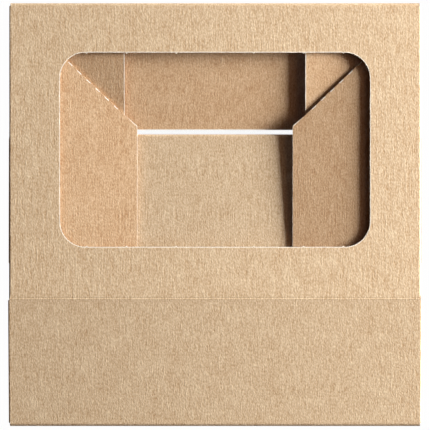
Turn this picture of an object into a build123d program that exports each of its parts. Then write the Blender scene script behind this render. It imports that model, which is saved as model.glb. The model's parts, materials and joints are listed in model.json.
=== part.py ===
from build123d import *
import os

# Pop-up bakery box of kraft board, glued at six corners and folded flat as it is shipped.
# X runs along the front, Y from the back fold to the lid's front fold, and Z up from the table.
# The origin is under the middle of the folded box, on the table.

# Board and film
board = 0.46
film = 0.1
fold_gap = 0.2
score_gap = 0.2

# Outer sizes over the folds
tray_width = 203.2
tray_depth = 143.8
lid_width = 202.0
lid_depth = 144.5
back_wall = 63.6
front_wall = 64.65
side_wall = 63.5
lid_front = 62.1
lid_side = 62.8

# How far the folded board springs open
pack_height = 8.6
floor_clearance = 0.6
rest_clearance = 0.4

# Glued corners
diagonal_slope = 0.955
diagonal_run = 55.9
mitre_slope = 0.85
flap_length = 56.0
flap_taper = 0.35
flap_relief = 1.3
flap_end_taper = 4.5
glue_inset = 2.6
glue_height = 57.0
corner_relief = 0.6
lid_back_relief = 0.8
lid_back_taper = 5.0

# Perforated diagonal folds: cuts with short creases between them
cut_pitch = 6.2
cut_length = 3.1
first_cut = 3.55

# Window and its clear film
window_width = 152.2
window_depth = 95.4
window_radius = 12.5
window_margin = 24.3
film_overlap = 9.5
nick_offsets = (19.0, 43.5, 64.0)
nick_radius = 0.5

# A tight fold holds two layers of board, and a wide fold holds five
tight_fold = 2 * board + fold_gap
wide_fold = 5 * board + 3 * fold_gap
side_layer = board + fold_gap
glue_layer = 2 * side_layer
flap_layer = glue_layer + board
wall_layer = flap_layer + side_layer

# Fold lines, which lie in from the outer edges by the radius of each fold
pack_depth = lid_depth + back_wall
lid_front_fold = pack_depth / 2 - wide_fold / 2
back_fold = -pack_depth / 2 + wide_fold / 2
tray_front_fold = -pack_depth / 2 + tray_depth - wide_fold / 2
score_line = pack_depth / 2 - lid_depth
tray_side_fold = -(tray_width - tight_fold) / 2
lid_side_fold = -(lid_width - tight_fold) / 2

# Reach of each panel from its fold line
back_reach = score_line - back_fold - score_gap / 2
front_reach = front_wall - wide_fold / 2
side_reach = side_wall - tight_fold / 2
lid_front_reach = lid_front - wide_fold / 2
lid_side_reach = lid_side - tight_fold / 2
lid_reach = lid_front_fold - score_line - score_gap / 2

# Slopes of the end walls: each springs up until something stops it
lid_lean = (pack_height - wide_fold - floor_clearance) / lid_front_reach
back_lean = (pack_height - wide_fold) / (score_line - back_fold)
lid_side_drop = diagonal_slope * lid_lean / 2 * lid_side_reach
front_lean = (pack_height - tight_fold - lid_side_drop - rest_clearance - wide_fold) / front_reach


class Corner:
    """The left corner of a nest of folded panels.

    x runs in from the side fold, y in from the end fold, and z from the outer face of the
    base panel through the layers folded over it. lean is the slope of the end wall.
    """

    def __init__(self, side_fold, end_fold, base_face, inward, layers, lean):
        self.side_fold = side_fold
        self.end_fold = end_fold
        self.base_face = base_face
        self.inward = inward
        self.layers = layers
        self.lean = lean
        # A corner folded at 45 degrees opens its side wall half as fast as its end wall.
        self.side_lean = diagonal_slope * lean / 2

    def at(self, x, y, z):
        """A point of the nest in the box's own frame."""
        return Vector(
            self.side_fold + x,
            self.end_fold + self.inward * y,
            self.base_face + self.layers * z,
        )

    def glued(self, x, y):
        """Height of the glued flap over its own layer: it hangs from the end wall and the diagonal."""
        return self.lean * y - self.side_lean * x


def plate(corner, outline, height):
    """Board over an outline of (x, y) points, with its near face at height(x, y)."""
    points = [corner.at(x, y, height(x, y)) for x, y in outline]
    return extrude(Face(Wire.make_polygon(points)), board, dir=(0, 0, corner.layers))


def bend(start, end, bulge, fold, hollow=0):
    """Half round of board on a fold line from start to end, fold across its outside.

    A tight fold is filled by the bead of its score, and a wide one is hollow across its inside.
    """
    outer = fold / 2
    section = Circle(outer) - Circle(hollow / 2) if hollow else Circle(outer)
    half = section & Pos(outer / 2, 0) * Rectangle(outer, 2 * outer)
    across = Plane(origin=start, x_dir=bulge, z_dir=bulge.cross(Vector(0, 0, 1)))
    run = end - start
    return extrude(across * half, run.length, dir=run.normalized())


def end_wall(corner, width, reach):
    """Full-width wall folded over the nest, with its wide fold."""
    outline = [(0, 0), (width, 0), (width, reach), (0, reach)]
    wall = plate(corner, outline, lambda x, y: wall_layer + corner.lean * y)
    middle = wide_fold / 2
    start, end = corner.at(0, 0, middle), corner.at(width, 0, middle)
    out = Vector(0, -corner.inward, 0)
    return wall + bend(start, end, out, wide_fold, hollow=wide_fold - 2 * board)


def diagonal_creases(corner):
    """The creases that are left between the cuts of a diagonal fold."""
    flat = Vector(1, diagonal_slope, 0)
    length = diagonal_run * flat.length
    edges = [corner_relief]
    middle = first_cut
    while middle + cut_length / 2 < length:
        edges += [middle - cut_length / 2, middle + cut_length / 2]
        middle += cut_pitch
    edges.append(length)
    bulge = Vector(diagonal_slope, -corner.inward, 0).normalized()
    creases = []
    for start, end in zip(edges[::2], edges[1::2]):
        x0, x1 = start / flat.length, end / flat.length
        z = glue_layer - fold_gap / 2
        ends = [
            corner.at(x, diagonal_slope * x, z + corner.side_lean * x)
            for x in (x0, x1)
        ]
        creases.append(bend(*ends, bulge, tight_fold))
    return creases


def glued_corner(corner, end_reach):
    """Glue flap on the end of a wall, the side wall's corner glued to it, and their folds."""
    far = end_reach - flap_relief
    flap = [
        (0, corner_relief),
        (flap_length, corner_relief + flap_taper * flap_length),
        (flap_length, far - flap_end_taper),
        (0, far),
    ]
    triangle = [
        (corner_relief, diagonal_slope * corner_relief),
        (diagonal_run, diagonal_slope * diagonal_run),
        (glue_inset, glue_height),
    ]
    pieces = [
        plate(corner, flap, lambda x, y: flap_layer + corner.glued(x, y)),
        plate(corner, triangle, lambda x, y: glue_layer + corner.glued(x, y)),
    ]
    hinge = wall_layer - fold_gap / 2
    start = corner.at(0, corner_relief, hinge + corner.lean * corner_relief)
    end = corner.at(0, far, hinge + corner.lean * far)
    pieces.append(bend(start, end, Vector(-1, 0, 0), tight_fold))
    return pieces + diagonal_creases(corner)


def side_end(reach):
    """Outline of a side wall's end, from the side fold along the diagonal to the free edge."""
    mitre = diagonal_slope * diagonal_run + mitre_slope * (reach - diagonal_run)
    return [(0, 0), (diagonal_run, diagonal_slope * diagonal_run), (reach, mitre)]


def side_fold_of(corner, y_start, y_end):
    """Tight fold between the base and a side wall."""
    middle = tight_fold / 2
    start, end = corner.at(0, y_start, middle), corner.at(0, y_end, middle)
    return bend(start, end, Vector(-1, 0, 0), tight_fold)


def tray_side(front, back):
    """Side wall of the tray: flat over each glued corner, with a twist of the board between."""
    outline = side_end(side_reach)
    straight = outline[-1][1] + flap_relief
    pieces = []
    sections = []
    for corner in (front, back):
        end = [*outline, (side_reach, straight), (0, straight)]
        pieces.append(plate(corner, end, lambda x, y: side_layer + corner.side_lean * x))
        rise = corner.side_lean * side_reach
        sections.append(
            Wire.make_polygon(
                [
                    corner.at(0, straight, side_layer),
                    corner.at(side_reach, straight, side_layer + rise),
                    corner.at(side_reach, straight, side_layer + rise + board),
                    corner.at(0, straight, side_layer + board),
                ]
            )
        )
    pieces.append(Solid.make_loft(sections, ruled=True))
    pieces.append(side_fold_of(front, 0, front.end_fold - back.end_fold))
    return pieces


def lid_side_flap(corner):
    """Side flap of the lid, cut back at its rear so that it clears the back wall."""
    outline = [
        *side_end(lid_side_reach),
        (lid_side_reach, lid_reach - lid_back_relief - lid_back_taper),
        (0, lid_reach - lid_back_relief),
    ]
    flap = plate(corner, outline, lambda x, y: side_layer + corner.side_lean * x)
    return [flap, side_fold_of(corner, 0, lid_reach - lid_back_relief)]


def both_sides(pieces):
    """Left-hand pieces joined into one, with their mirror image on the right."""
    left = Part() + pieces
    return left + mirror(left, about=Plane.YZ)


def make_tray():
    """Bottom, front, back and side walls, folded flat with their four glued corners."""
    front = Corner(tray_side_fold, tray_front_fold, 0, -1, 1, front_lean)
    back = Corner(tray_side_fold, back_fold, 0, 1, 1, back_lean)
    width = -2 * tray_side_fold
    depth = tray_front_fold - back_fold
    bottom = plate(front, [(0, 0), (width, 0), (width, depth), (0, depth)], lambda x, y: 0)
    corners = glued_corner(front, front_reach) + glued_corner(back, back_reach)
    sides = both_sides(tray_side(front, back) + corners)
    return bottom + end_wall(front, width, front_reach) + end_wall(back, width, back_reach) + sides


def window_opening(centre):
    """Rounded window, with the small nicks that held its waste in the die."""
    opening = RectangleRounded(window_width, window_depth, window_radius)
    nicks = [
        Pos(side * offset, edge * window_depth / 2) * Circle(nick_radius)
        for offset in nick_offsets
        for side in (-1, 1)
        for edge in (-1, 1)
    ]
    sheet = Pos(0, centre, pack_height - 2 * board) * (opening - nicks)
    return extrude(sheet, 3 * board)


def make_lid(corner, window_centre):
    """Top with its window, side flaps and front flap, folded flat with two glued corners."""
    width = -2 * lid_side_fold
    outline = [(0, 0), (width, 0), (width, lid_reach), (0, lid_reach)]
    top = plate(corner, outline, lambda x, y: 0) - window_opening(window_centre)
    sides = both_sides(lid_side_flap(corner) + glued_corner(corner, lid_front_reach))
    return top + end_wall(corner, width, lid_front_reach) + sides


def make_film(window_centre):
    """Clear film pasted inside the top, round the window."""
    sheet = Rectangle(window_width + 2 * film_overlap, window_depth + 2 * film_overlap)
    place = Pos(0, window_centre, pack_height - board)
    return extrude(place * sheet, -film)


lid_corner = Corner(lid_side_fold, lid_front_fold, pack_height, -1, -1, lid_lean)
window_centre = pack_depth / 2 - window_margin - window_depth / 2
parts = {
    "tray": make_tray(),
    "lid": make_lid(lid_corner, window_centre),
    "window_film": make_film(window_centre),
}

os.makedirs("parts", exist_ok=True)
for name, part in parts.items():
    part.label = name
    export_step(part, f"parts/{name}.step")
    print(name, len(part.solids()), round(part.volume, 1), part.bounding_box())
print("score line", score_line, "lid hinge height", pack_height)
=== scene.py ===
"""Looks of a kraft bakery box, glued at six corners and folded flat, seen from straight above.

Each panel of the box is drawn as a plan in X and Y, with a rim along its cut edges, and lifted onto
both faces of its board. Folds join the panels of the tray and those of the lid into one closed sheet
each. Shapes are worked out in millimetres, and finished_object turns them into metres.
"""

import json
import logging
import math
from collections.abc import Callable, Iterable, Sequence
from dataclasses import dataclass, field
from enum import Enum

import bmesh
import bpy
from bmesh.types import BMEdge, BMesh, BMLayerItem, BMVert
from bpy.types import Material, Mesh, Node, NodeSocket, NodeTree, Object
from mathutils import Matrix, Vector
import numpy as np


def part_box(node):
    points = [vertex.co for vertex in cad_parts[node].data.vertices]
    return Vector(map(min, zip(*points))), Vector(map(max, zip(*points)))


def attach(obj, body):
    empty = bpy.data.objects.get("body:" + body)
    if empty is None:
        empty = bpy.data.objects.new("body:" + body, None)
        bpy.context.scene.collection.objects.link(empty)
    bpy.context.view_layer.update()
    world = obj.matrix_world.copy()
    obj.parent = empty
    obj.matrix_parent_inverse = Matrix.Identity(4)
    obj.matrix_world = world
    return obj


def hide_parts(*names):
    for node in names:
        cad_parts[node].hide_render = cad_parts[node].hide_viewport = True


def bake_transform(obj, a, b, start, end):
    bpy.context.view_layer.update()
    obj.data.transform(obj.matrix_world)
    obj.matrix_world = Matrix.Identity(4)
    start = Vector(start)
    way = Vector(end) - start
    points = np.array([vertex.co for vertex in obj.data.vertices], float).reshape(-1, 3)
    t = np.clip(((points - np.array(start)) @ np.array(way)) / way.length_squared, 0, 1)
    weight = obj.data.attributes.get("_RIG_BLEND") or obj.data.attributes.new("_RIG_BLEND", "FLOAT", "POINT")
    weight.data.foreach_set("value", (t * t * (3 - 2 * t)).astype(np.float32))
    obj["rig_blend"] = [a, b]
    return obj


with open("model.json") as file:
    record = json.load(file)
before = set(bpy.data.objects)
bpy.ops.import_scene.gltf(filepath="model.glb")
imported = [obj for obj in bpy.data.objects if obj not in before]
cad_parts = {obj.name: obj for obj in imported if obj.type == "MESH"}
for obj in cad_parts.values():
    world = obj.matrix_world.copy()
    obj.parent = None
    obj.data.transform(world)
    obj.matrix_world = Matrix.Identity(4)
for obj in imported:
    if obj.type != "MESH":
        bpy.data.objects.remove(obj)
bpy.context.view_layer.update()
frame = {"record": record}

log = logging.getLogger("bakery_box")

# A millimetre in metres, and a length in millimetres that counts as nothing
MM = 0.001
TINY = 1e-4

# Faces that meet at more than this angle have a hard edge between them
SHARP_ANGLE = math.radians(35)

# What a noise texture gives on average
NOISE_MEAN = 0.5

WHITE = (1.0, 1.0, 1.0, 1.0)

# A height is worked out from an x and a y, and a value is what a node's input takes
Point = tuple[float, float]
Colour = tuple[float, float, float, float]
Height = Callable[[float, float], float]
Value = NodeSocket | float | tuple[float, ...]


# The board, its die and the places of the folds


class Edge(Enum):
    """How one edge of a panel ends."""

    CUT = "die-cut, with a rim of pale fibres along both faces"
    TRIM = "die-cut, with a narrow rim"
    SLIT = "sliced between the creases of a perforated fold"
    FLUSH = "square, where the next piece or a crease carries it on"
    FOLD = "carried on by a fold"
    SEAM = "shared with another outline of the same panel"


class Side(Enum):
    """Which surface of the board a face belongs to; the value is its material slot.

    RIM is the strip of pale fibres along a cut edge. CUT is the dark brown of the cut walls and of
    the creases of a perforated fold: partly the brown of cut and crushed board, and partly painted
    shade, which keeps creases and walls that face the low lamp dark.
    """

    OUTER = 0
    INNER = 1
    RIM = 2
    CUT = 3


Outline = list[tuple[Point, Edge]]

# Width and depth of the rim along each kind of cut edge, as shares of the board's own
RIMS = {Edge.CUT: (1.0, 1.0), Edge.TRIM: (0.4, 0.04), Edge.SLIT: (1.3, 0.8)}
NO_RIM = (0.0, 0.0)


@dataclass(frozen=True)
class Board:
    """The kraft board and how its layers stack in a fold, in millimetres.

    Attributes:
        thickness: Thickness of the board.
        fold_gap: Room between the two layers of a tight fold.
        rim_width: Width of the strip of pale fibres along a cut edge.
        rim_depth: How far the strip is worn down at the edge.
    """

    thickness: float = 0.46
    fold_gap: float = 0.2
    rim_width: float = 0.38
    rim_depth: float = 0.01

    @property
    def side_layer(self) -> float:
        """Height of a side wall over the outer face of its base."""
        return self.thickness + self.fold_gap

    @property
    def glue_layer(self) -> float:
        """Height of the corner triangle that is glued to its flap."""
        return 2 * self.side_layer

    @property
    def flap_layer(self) -> float:
        """Height of a glue flap."""
        return self.glue_layer + self.thickness

    @property
    def wall_layer(self) -> float:
        """Height of an end wall at its fold."""
        return self.flap_layer + self.side_layer

    @property
    def tight_fold(self) -> float:
        """Outside of a fold that holds two layers."""
        return 2 * self.thickness + self.fold_gap

    @property
    def wide_fold(self) -> float:
        """Outside of a fold that holds five layers."""
        return self.wall_layer + self.thickness


@dataclass(frozen=True)
class Die:
    """Lines of the cutting die that the frame doesn't give, in millimetres; slopes are ratios."""

    # Reach of the walls and flaps, measured from the outside of their folds
    front_wall: float = 64.65
    side_wall: float = 63.5
    lid_front: float = 62.1
    lid_side: float = 62.8
    # Room between the tray's front wall and the lid's side flaps over it
    rest_clearance: float = 0.4
    # Glued corners
    diagonal_slope: float = 0.955
    diagonal_run: float = 55.9
    mitre_slope: float = 0.85
    flap_length: float = 56.0
    flap_slope: float = 0.35
    flap_relief: float = 1.3
    flap_end_taper: float = 4.5
    glue_inset: float = 2.6
    glue_height: float = 57.0
    corner_relief: float = 0.6
    # Rear of the lid's side flaps, and the score that the lid turns on
    lid_back_taper: float = 5.0
    score_gap: float = 0.2
    hinge_half: float = 0.9
    # Cuts of the perforated diagonals
    cut_pitch: float = 6.2
    cut_length: float = 3.1
    first_cut: float = 3.55
    # Window, with its nicks at distances from the middle of each long edge
    window_width: float = 152.2
    window_depth: float = 95.4
    window_radius: float = 12.5
    window_margin: float = 24.3
    nick_offsets: tuple[float, ...] = (19.0, 43.5, 63.0)
    nick_radius: float = 0.5


@dataclass(frozen=True)
class Pack:
    """Places of the folded box's fold lines, worked out from the frame, in millimetres.

    Attributes:
        board: The board that the box is folded from.
        die: The lines of its die.
        tray_low: Lowest corner of the tray's box.
        tray_high: Highest corner of the tray's box.
        lid_low: Lowest corner of the lid's box.
        lid_high: Highest corner of the lid's box.
        hinge: A point on the line that the lid turns about.
    """

    board: Board
    die: Die
    tray_low: Vector
    tray_high: Vector
    lid_low: Vector
    lid_high: Vector
    hinge: Vector

    @classmethod
    def from_frame(cls, board: Board, die: Die) -> "Pack":
        """Reads the boxes of the two CAD nodes and the place of their hinge.

        Args:
            board: The board that the box is folded from.
            die: The lines of its die.

        Returns:
            The pack with every length in millimetres.
        """
        tray = [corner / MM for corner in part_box("tray")]
        lid = [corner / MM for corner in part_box("lid")]
        hinge = Vector(frame["record"]["behaviour"]["joints"][0]["pos_m"]) / MM
        return cls(board, die, *tray, *lid, hinge)

    @property
    def height(self) -> float:
        """Height of the lid's top above the table."""
        return self.hinge.z

    @property
    def score_line(self) -> float:
        """Y of the score between the lid's top and the back wall."""
        return self.hinge.y

    @property
    def window_centre(self) -> float:
        """Y of the middle of the window."""
        return self.lid_high.y - self.die.window_margin - self.die.window_depth / 2

    def lid_corner(self, hand: int) -> "Corner":
        """Places a corner of the lid's nest, whose layers hang from the top.

        Args:
            hand: -1 on the left, and 1 on the right.

        Returns:
            The corner.
        """
        board, die = self.board, self.die
        reach = die.lid_front - board.wide_fold / 2
        return Corner(
            pack=self,
            side_fold=self.lid_high.x - board.tight_fold / 2,
            end_fold=self.lid_high.y - board.wide_fold / 2,
            base_face=self.height,
            inward=-1,
            layers=-1,
            lean=(self.height - board.wide_fold - self.lid_low.z) / reach,
            reach=reach,
            far=reach - die.flap_relief,
            hand=hand,
        )

    def back_corner(self, hand: int) -> "Corner":
        """Places a corner of the tray's nest at the back fold.

        Args:
            hand: -1 on the left, and 1 on the right.

        Returns:
            The corner.
        """
        board, die = self.board, self.die
        end_fold = self.tray_low.y + board.wide_fold / 2
        reach = self.score_line - end_fold
        return Corner(
            pack=self,
            side_fold=self.tray_high.x - board.tight_fold / 2,
            end_fold=end_fold,
            base_face=0.0,
            inward=1,
            layers=1,
            lean=(self.height - board.wide_fold) / reach,
            reach=reach - die.hinge_half,
            far=reach - die.score_gap / 2 - die.flap_relief,
            hand=hand,
        )

    def front_corner(self, hand: int) -> "Corner":
        """Places a corner of the tray's nest at the front fold.

        The front wall springs up until the lid's side flaps stop it.

        Args:
            hand: -1 on the left, and 1 on the right.

        Returns:
            The corner.
        """
        board, die = self.board, self.die
        reach = die.front_wall - board.wide_fold / 2
        lid_side_drop = self.lid_corner(hand).side_lean * (die.lid_side - board.tight_fold / 2)
        room = self.height - board.tight_fold - lid_side_drop - die.rest_clearance
        return Corner(
            pack=self,
            side_fold=self.tray_high.x - board.tight_fold / 2,
            end_fold=self.tray_high.y - board.wide_fold / 2,
            base_face=0.0,
            inward=-1,
            layers=1,
            lean=(room - board.wide_fold) / reach,
            reach=reach,
            far=reach - die.flap_relief,
            hand=hand,
        )


@dataclass(frozen=True)
class Corner:
    """One corner of a nest of folded panels.

    x runs in from the side fold and y in from the end fold. Heights count from the outer face
    of the base panel through the layers folded over it.

    Attributes:
        pack: The folded box that the corner belongs to.
        side_fold: Distance of the side fold from the middle of the box.
        end_fold: Y of the end fold.
        base_face: Z of the base panel's outer face.
        inward: 1 where y runs towards +Y, and -1 where it runs towards -Y.
        layers: 1 where the layers rise, and -1 where they hang.
        lean: Slope of the end wall.
        reach: Reach of the end wall from its fold line.
        far: Reach of its glue flaps.
        hand: -1 on the left, and 1 on the right.
    """

    pack: Pack
    side_fold: float
    end_fold: float
    base_face: float
    inward: int
    layers: int
    lean: float
    reach: float
    far: float
    hand: int

    @property
    def side_lean(self) -> float:
        """Slope of the side wall, which opens half as fast as the end wall."""
        return self.pack.die.diagonal_slope * self.lean / 2

    def place(self, x: float, y: float) -> Point:
        """X and Y in the box's frame of a point of the corner."""
        return self.hand * (self.side_fold - x), self.end_fold + self.inward * y

    def local(self, x: float, y: float) -> Point:
        """The corner's own x and y of a point of the box's frame."""
        return self.side_fold - self.hand * x, self.inward * (y - self.end_fold)

    def outline(self, steps: Iterable[tuple[Point, Edge]]) -> Outline:
        """Moves an outline from the corner's x and y to the box's X and Y."""
        return [(self.place(*point), kind) for point, kind in steps]

    def level(self, height: Height) -> Height:
        """Turns a height over the corner's x and y into a Z over the box's X and Y."""
        return lambda x, y: self.base_face + self.layers * height(*self.local(x, y))

    def side_wall(self, x: float, y: float) -> float:
        """Height of the side wall."""
        return self.pack.board.side_layer + self.side_lean * x

    def end_wall(self, x: float, y: float) -> float:
        """Height of the end wall."""
        return self.pack.board.wall_layer + self.lean * y

    def triangle(self, x: float, y: float) -> float:
        """Height of the side wall's triangle, which is glued to the flap."""
        return self.pack.board.glue_layer + self.glued(x, y)

    def flap(self, x: float, y: float) -> float:
        """Height of the glue flap."""
        return self.pack.board.flap_layer + self.glued(x, y)

    def glued(self, x: float, y: float) -> float:
        """Height of flap and triangle over their layers: they hang from end wall and diagonal."""
        return self.lean * y - self.side_lean * x


# Panels and folds as one mesh


@dataclass
class Panel:
    """A panel of board.

    Attributes:
        outlines: Outlines in X and Y, each a list of points with the kind of the edge after it.
        near: Z of the face that looks towards the base, over X and Y.
        layers: Direction of the layers, up or down, from the near face to the far one.
        surfaces: Surfaces of the board that the near and the far face are.
        flat: The panel's plan as a mesh in X and Y, drawn by lay_out.
        skin: Near and far point in the sheet's mesh of each point of the plan.
    """

    outlines: list[Outline]
    near: Height
    layers: int
    surfaces: tuple[Side, Side]
    flat: BMesh = field(default_factory=bmesh.new, init=False)
    skin: dict[BMVert, tuple[BMVert, BMVert]] = field(default_factory=dict, init=False)

    def folds(self) -> list[tuple[Vector, Vector]]:
        """Finds the edges that a fold carries on.

        Returns:
            Both ends of each such edge.
        """
        found = []
        for outline in self.outlines:
            for (start, kind), (end, _) in zip(outline, outline[1:] + outline[:1]):
                if kind is Edge.FOLD:
                    found.append((Vector(start), Vector(end)))
        return found

    def is_folded(self, edge: BMEdge) -> bool:
        """Tells whether a fold carries on an edge of the plan."""
        ends = [vert.co.to_2d() for vert in edge.verts]
        return any(all(on_line(end, *fold) for end in ends) for fold in self.folds())

    def lay_out(self, rim_width: float, grid: float, guard: float) -> None:
        """Draws the plan: rims along cut edges, and a grid of cuts through all of it.

        Args:
            rim_width: Width of the rim along a cut edge.
            grid: Spacing of the grid lines in X and Y.
            guard: Distance of the extra line beside each fold, which keeps the panel's normals flat.
        """
        flat = self.flat
        rim = flat.verts.layers.float.new("rim")
        for outline in self.outlines:
            draw_rimmed(flat, rim, outline, rim_width)
        bmesh.ops.remove_doubles(flat, verts=flat.verts, dist=TINY)
        for axis in (Vector((1, 0, 0)), Vector((0, 1, 0))):
            values = [vert.co.dot(axis) for vert in flat.verts]
            for step in range(math.ceil(min(values) / grid), math.ceil(max(values) / grid)):
                cut_plan(flat, axis * step * grid, axis)
        for start, end in self.folds():
            along = (end - start).normalized()
            across = Vector((along.y, -along.x, 0))
            for shift in (-guard, guard):
                cut_plan(flat, start.to_3d() + across * shift, across)

    def fold_verts(self, start: Vector, end: Vector) -> list[BMVert]:
        """Finds the plan's points along a fold line.

        Args:
            start: Start of the fold line.
            end: End of the fold line.

        Returns:
            The points in order from the start to the end.
        """
        along = end - start
        found = [vert for vert in self.flat.verts if on_line(vert.co.to_2d(), start, end)]
        return sorted(found, key=lambda vert: vert.co.to_2d().dot(along))

    def match(self, start: Vector, end: Vector, places: Iterable[Vector]) -> None:
        """Splits the plan's edges along a fold wherever the panel across it has a point.

        Args:
            start: Start of the fold line.
            end: End of the fold line.
            places: Points of the other panel along the line.
        """
        along = (end - start).to_3d()
        for place in places:
            verts = self.fold_verts(start, end)
            if any((vert.co - place).length < TINY for vert in verts):
                continue
            before = [vert for vert in verts if (vert.co - place).dot(along) < 0][-1]
            after = verts[verts.index(before) + 1]
            edge = next(edge for edge in before.link_edges if edge.other_vert(before) is after)
            share = (place - before.co).length / (after.co - before.co).length
            bmesh.utils.edge_split(edge, before, share)


def on_line(place: Vector, start: Vector, end: Vector) -> bool:
    """Tells whether a point of a plan lies on the line between two others.

    Args:
        place: The point.
        start: Start of the line.
        end: End of the line.

    Returns:
        True where it does, both ends included.
    """
    along = end - start
    share = (place - start).dot(along) / along.length_squared
    off = (place - start - along * share).length
    return off < TINY and -TINY < share < 1 + TINY


def cut_plan(flat: BMesh, place: Vector, normal: Vector) -> None:
    """Cuts every face of a plan along one plane."""
    everything = [*flat.verts, *flat.edges, *flat.faces]
    bmesh.ops.bisect_plane(flat, geom=everything, dist=TINY, plane_co=place, plane_no=normal)


def draw_rimmed(flat: BMesh, rim: BMLayerItem, outline: Outline, rim_width: float) -> None:
    """Adds one outline to a plan as a face, with a strip along each cut edge for its rim.

    Args:
        flat: The plan.
        rim: Layer that holds the share of the rim's depth at an outer point, and 0 elsewhere.
        outline: Points of the outline with the kind of the edge after each.
        rim_width: Width of the rim.
    """
    points = [Vector(point) for point, _ in outline]
    kinds = [kind for _, kind in outline]
    count = len(points)
    # An outline may run either way round, and its rim lies inside it
    area = sum(points[i - 1].cross(points[i]) for i in range(count))
    turn = 1 if area > 0 else -1
    outer, inner = [], []
    for i, point in enumerate(points):
        before = (point - points[i - 1]).normalized()
        after = (points[(i + 1) % count] - point).normalized()
        rims = [RIMS.get(kind, NO_RIM) for kind in (kinds[i - 1], kinds[i])]
        widths = [rim_width * width for width, _ in rims]
        depths = [depth for _, depth in rims]
        bend = before.cross(after)
        straight = abs(bend) < TINY
        if straight:
            shift = Vector((-before.y, before.x)) * turn * min(widths)
        else:
            shift = (after * widths[0] - before * widths[1]) * turn / bend
        outer.append(flat.verts.new(point.to_3d()))
        outer[-1][rim] = min(depths) if straight else max(depths)
        inner.append(outer[-1] if shift.length < TINY else flat.verts.new((point + shift).to_3d()))
    flat.faces.new(inner)
    for i, kind in enumerate(kinds):
        following = (i + 1) % count
        ring = list(dict.fromkeys([outer[i], outer[following], inner[following], inner[i]]))
        if kind in RIMS and len(ring) > 2:
            flat.faces.new(ring)


def add_strip(mesh: BMesh, first: Sequence[BMVert], second: Sequence[BMVert], slot: int) -> None:
    """Adds the quads between two rows of points.

    Args:
        mesh: The mesh that grows.
        first: Points of one row.
        second: As many points of the other row.
        slot: Material slot of the quads.
    """
    for corners in zip(first, first[1:], second[1:], second):
        mesh.faces.new(corners).material_index = slot


@dataclass(frozen=True)
class Fold:
    """A fold that joins two panels.

    Attributes:
        lower: Name of the panel nearer to the base.
        upper: Name of the panel folded over it.
        bulge: Direction in X and Y in which the fold bulges.
        start: Start of the fold line.
        end: End of the fold line.
    """

    lower: str
    upper: str
    bulge: Vector
    start: Vector
    end: Vector


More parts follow.
